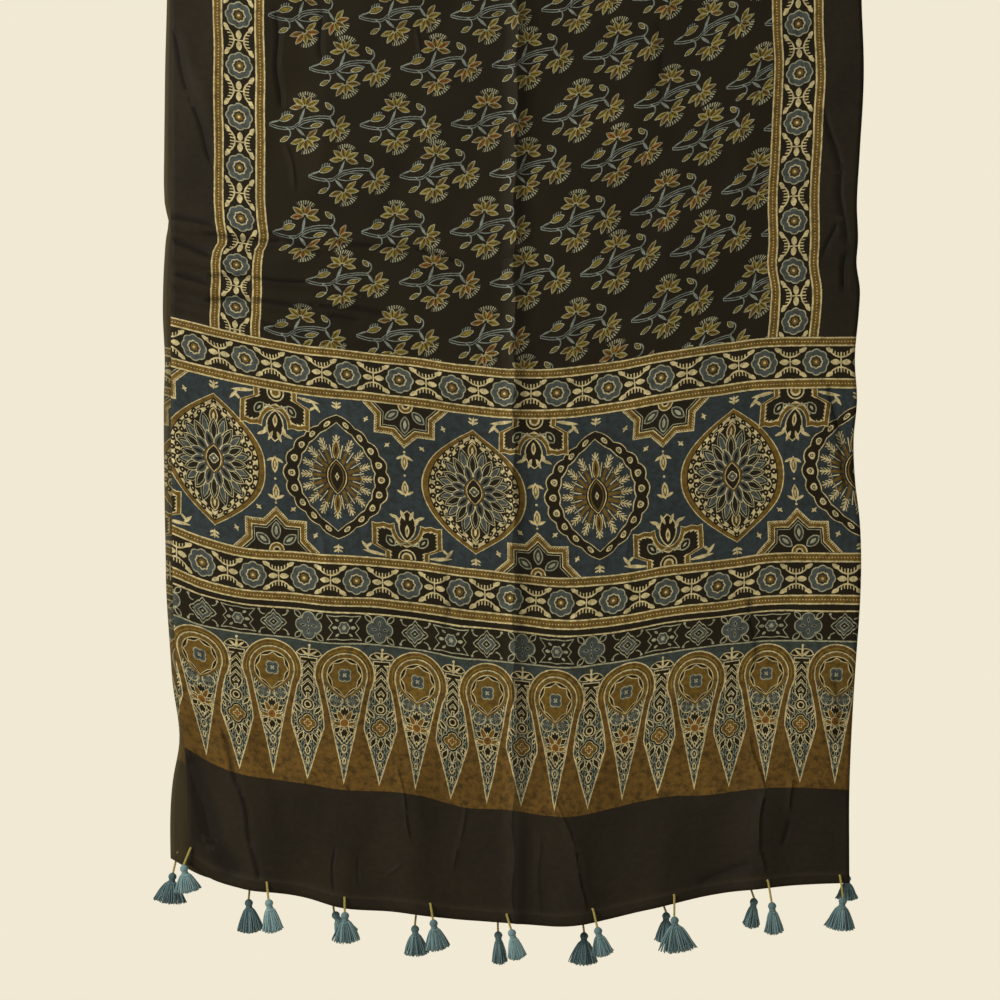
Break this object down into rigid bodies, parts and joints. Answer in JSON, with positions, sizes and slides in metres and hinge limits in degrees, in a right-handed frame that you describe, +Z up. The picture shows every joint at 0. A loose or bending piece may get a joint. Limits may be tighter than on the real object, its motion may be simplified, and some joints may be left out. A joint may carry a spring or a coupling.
{
  "type": "ajrakh stole hung folded over a line",
  "caption": "Block-printed ajrakh stole hung in half over a line, with a flowered field, banded end panels and yarn tassels tied along both hems.",
  "frame": {"origin": "top of the fold at mid-width, where the cloth turns over the line", "axes": "+Z up along the hanging cloth, -Y out of the front half's printed face, +X to the right as that face is seen"},
  "size_m": [0.7146, 0.0439, 1.0944],
  "materials": {
    "printed_cloth": "thin soft plain-woven cloth, block printed, with a faint sheen",
    "tassel_yarn": "dull teal-blue cotton yarn",
    "tie_yarn": "dull mustard twisted yarn"
  },
  "bodies": {
    "root": {"cloth": "printed_cloth", "tassel_01": "tassel_yarn", "tassel_02": "tassel_yarn", "tassel_03": "tassel_yarn", "tassel_04": "tassel_yarn", "tassel_05": "tassel_yarn", "tassel_06": "tassel_yarn", "tassel_07": "tassel_yarn", "tassel_08": "tassel_yarn", "tassel_09": "tassel_yarn", "tassel_10": "tassel_yarn", "tassel_11": "tassel_yarn", "tassel_12": "tassel_yarn", "tassel_13": "tassel_yarn", "tassel_14": "tassel_yarn", "tassel_15": "tassel_yarn", "tassel_16": "tassel_yarn", "tassel_17": "tassel_yarn", "tassel_18": "tassel_yarn", "tie_01": "tie_yarn", "tie_02": "tie_yarn", "tie_03": "tie_yarn", "tie_04": "tie_yarn", "tie_05": "tie_yarn", "tie_06": "tie_yarn", "tie_07": "tie_yarn", "tie_08": "tie_yarn", "tie_09": "tie_yarn", "tie_10": "tie_yarn", "tie_11": "tie_yarn", "tie_12": "tie_yarn", "tie_13": "tie_yarn", "tie_14": "tie_yarn", "tie_15": "tie_yarn", "tie_16": "tie_yarn", "tie_17": "tie_yarn", "tie_18": "tie_yarn"}
  },
  "joints": []
}
